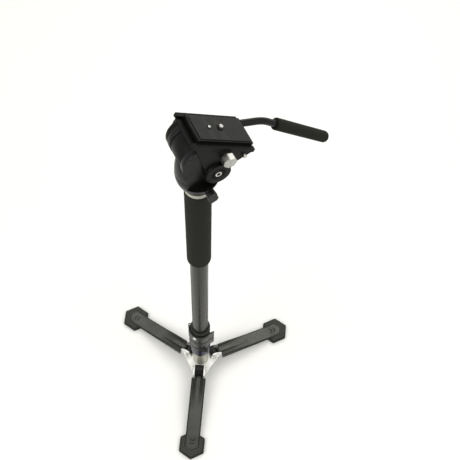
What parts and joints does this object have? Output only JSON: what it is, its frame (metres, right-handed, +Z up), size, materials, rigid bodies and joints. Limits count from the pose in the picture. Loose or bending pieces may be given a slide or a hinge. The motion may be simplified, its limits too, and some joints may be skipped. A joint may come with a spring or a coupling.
{
  "type": "video tripod",
  "caption": "Telescoping camera support column on folding feet, with flip locks, a foam grip, a fluid head and a bent pan handle.",
  "frame": {"origin": "centre of the centre foot's underside, on the column's axis at floor level", "axes": "+Z up along the column; -Y along the front leg; the head is panned so that its platform points along azimuth 210 degrees and is tilted 31 degrees nose up"},
  "size_m": [0.4106, 0.4235, 0.9121],
  "materials": {
    "leg_paint": "satin",
    "black_plastic": "matte",
    "foot_rubber": "matte",
    "bare_aluminium": "brushed",
    "satin_aluminium": "satin",
    "anodised_blue": "satin",
    "steel": "turned",
    "tube_anodised": "satin",
    "nylon": "matte",
    "grip_foam": "matte",
    "head_casting": "satin",
    "knob_plastic": "matte",
    "plate_rubber": "matte",
    "level_vial": "gloss"
  },
  "bodies": {
    "base": {"base_hub": "satin_aluminium", "base_plate": "bare_aluminium", "hub_ring": "black_plastic", "centre_foot": "foot_rubber", "ball_liner": "nylon", "socket_cap": "satin_aluminium", "leg_hinge_pins": "steel"},
    "leg_1": {"leg_1_beam": "leg_paint", "leg_1_link": "black_plastic", "leg_1_pad": "foot_rubber"},
    "leg_2": {"leg_2_beam": "leg_paint", "leg_2_link": "black_plastic", "leg_2_pad": "foot_rubber"},
    "leg_3": {"leg_3_beam": "leg_paint", "leg_3_link": "black_plastic", "leg_3_pad": "foot_rubber"},
    "ball": {"ball_stem": "steel"},
    "section_4": {"foot_collar": "anodised_blue", "stem_bush": "nylon", "column_tube_4": "tube_anodised", "tube_4_glide": "nylon"},
    "section_3": {"column_tube_3": "tube_anodised", "tube_3_glide": "nylon", "lock_3_collar": "black_plastic", "lock_3_pin": "steel"},
    "section_2": {"column_tube_2": "tube_anodised", "tube_2_glide": "nylon", "lock_2_collar": "black_plastic", "lock_2_pin": "steel"},
    "section_1": {"column_tube_1": "tube_anodised", "lock_1_collar": "black_plastic", "lock_1_pin": "steel", "column_grip": "grip_foam", "mount_ring": "bare_aluminium", "mount_stud": "steel", "pan_base": "head_casting"},
    "lever_3": {"lock_3_lever": "black_plastic"},
    "lever_2": {"lock_2_lever": "black_plastic"},
    "lever_1": {"lock_1_lever": "black_plastic"},
    "head": {"head_housing": "head_casting", "bubble_level": "level_vial", "tilt_axle": "steel"},
    "pan_lever": {"pan_lock_lever": "knob_plastic"},
    "tilt_knob": {"tilt_lock_knob": "knob_plastic"},
    "platform": {"platform_cradle": "head_casting", "left_side_wall": "head_casting", "right_side_cover": "head_casting", "left_rosette_bush": "steel", "right_rosette_bush": "steel"},
    "plate_knob": {"plate_lock_knob": "bare_aluminium"},
    "plate_button": {"plate_safety_button": "steel"},
    "plate": {"sliding_plate": "head_casting", "plate_pad": "plate_rubber", "video_pin": "steel"},
    "screw": {"camera_screw": "steel"},
    "handle": {"handle_arm": "head_casting", "handle_tube": "head_casting", "handle_grip": "grip_foam"},
    "arm_knob": {"handle_knob": "knob_plastic"}
  },
  "joints": [
    {"name": "leg_1_fold", "type": "hinge", "parent": "base", "child": "leg_1", "pos_m": [0, -0.03, 0.0465], "axis": [-1, 0, 0], "range_deg": [0, 98]},
    {"name": "leg_2_fold", "type": "hinge", "parent": "base", "child": "leg_2", "pos_m": [0.02598, 0.015, 0.0465], "axis": [0.5, -0.866, 0], "range_deg": [0, 98]},
    {"name": "leg_3_fold", "type": "hinge", "parent": "base", "child": "leg_3", "pos_m": [-0.02598, 0.015, 0.0465], "axis": [0.5, 0.866, 0], "range_deg": [0, 98]},
    {"name": "column_lean", "type": "hinge", "parent": "base", "child": "ball", "pos_m": [0, 0, 0.08], "axis": [1, 0, 0], "range_deg": [-8, 8]},
    {"name": "column_turn", "type": "hinge", "parent": "ball", "child": "section_4", "pos_m": [0, 0, 0.11], "axis": [0, 0, 1], "continuous": true},
    {"name": "section_3_slide", "type": "slide", "parent": "section_4", "child": "section_3", "axis": [0, 0, 1], "range_m": [0, 0.4]},
    {"name": "section_2_slide", "type": "slide", "parent": "section_3", "child": "section_2", "axis": [0, 0, 1], "range_m": [0, 0.4]},
    {"name": "section_1_slide", "type": "slide", "parent": "section_2", "child": "section_1", "axis": [0, 0, 1], "range_m": [0, 0.4]},
    {"name": "lever_3_flip", "type": "hinge", "parent": "section_3", "child": "lever_3", "pos_m": [-0.01619, 0.01676, 0.1495], "axis": [0, 0, -1], "range_deg": [0, 120]},
    {"name": "lever_2_flip", "type": "hinge", "parent": "section_2", "child": "lever_2", "pos_m": [-0.02324, 0.00163, 0.1795], "axis": [0, 0, -1], "range_deg": [0, 120]},
    {"name": "lever_1_flip", "type": "hinge", "parent": "section_1", "child": "lever_1", "pos_m": [-0.02324, 0.00163, 0.2095], "axis": [0, 0, -1], "range_deg": [0, 120]},
    {"name": "head_pan", "type": "hinge", "parent": "section_1", "child": "head", "pos_m": [0, 0, 0.777], "axis": [0, 0, 1], "continuous": true},
    {"name": "pan_lever_turn", "type": "hinge", "parent": "head", "child": "pan_lever", "pos_m": [0.02204, -0.02821, 0.7983], "axis": [0.6157, -0.788, 0], "range_deg": [-40, 40]},
    {"name": "tilt_knob_turn", "type": "hinge", "parent": "head", "child": "tilt_knob", "pos_m": [-0.02747, 0.04759, 0.858], "axis": [-0.5, 0.866, 0], "range_deg": [-180, 180]},
    {"name": "head_tilt", "type": "hinge", "parent": "head", "child": "platform", "pos_m": [-0.00325, 0.00563, 0.858], "axis": [-0.5, 0.866, 0], "range_deg": [-91, 29]},
    {"name": "plate_knob_turn", "type": "hinge", "parent": "platform", "child": "plate_knob", "pos_m": [0.04289, -0.00636, 0.86501], "axis": [0.5, -0.866, 0], "range_deg": [-180, 180]},
    {"name": "plate_button_press", "type": "slide", "parent": "platform", "child": "plate_button", "axis": [-0.5, 0.866, 0], "range_m": [0, 0.003], "stiffness_N_per_m": 400, "springref_m": -0.002},
    {"name": "plate_slide", "type": "slide", "parent": "platform", "child": "plate", "axis": [-0.7423, -0.4286, 0.515], "range_m": [-0.025, 0.025]},
    {"name": "camera_screw_turn", "type": "hinge", "parent": "plate", "child": "screw", "pos_m": [0.02992, 0.02478, 0.88679], "axis": [0.446, 0.2575, 0.8572], "continuous": true},
    {"name": "handle_swing", "type": "hinge", "parent": "platform", "child": "handle", "pos_m": [-0.01011, 0.05761, 0.83312], "axis": [-0.5, 0.866, 0], "range_deg": [-60, 60]},
    {"name": "handle_knob_turn", "type": "hinge", "parent": "handle", "child": "arm_knob", "pos_m": [-0.01761, 0.0706, 0.83312], "axis": [-0.5, 0.866, 0], "range_deg": [-180, 180]}
  ]
}
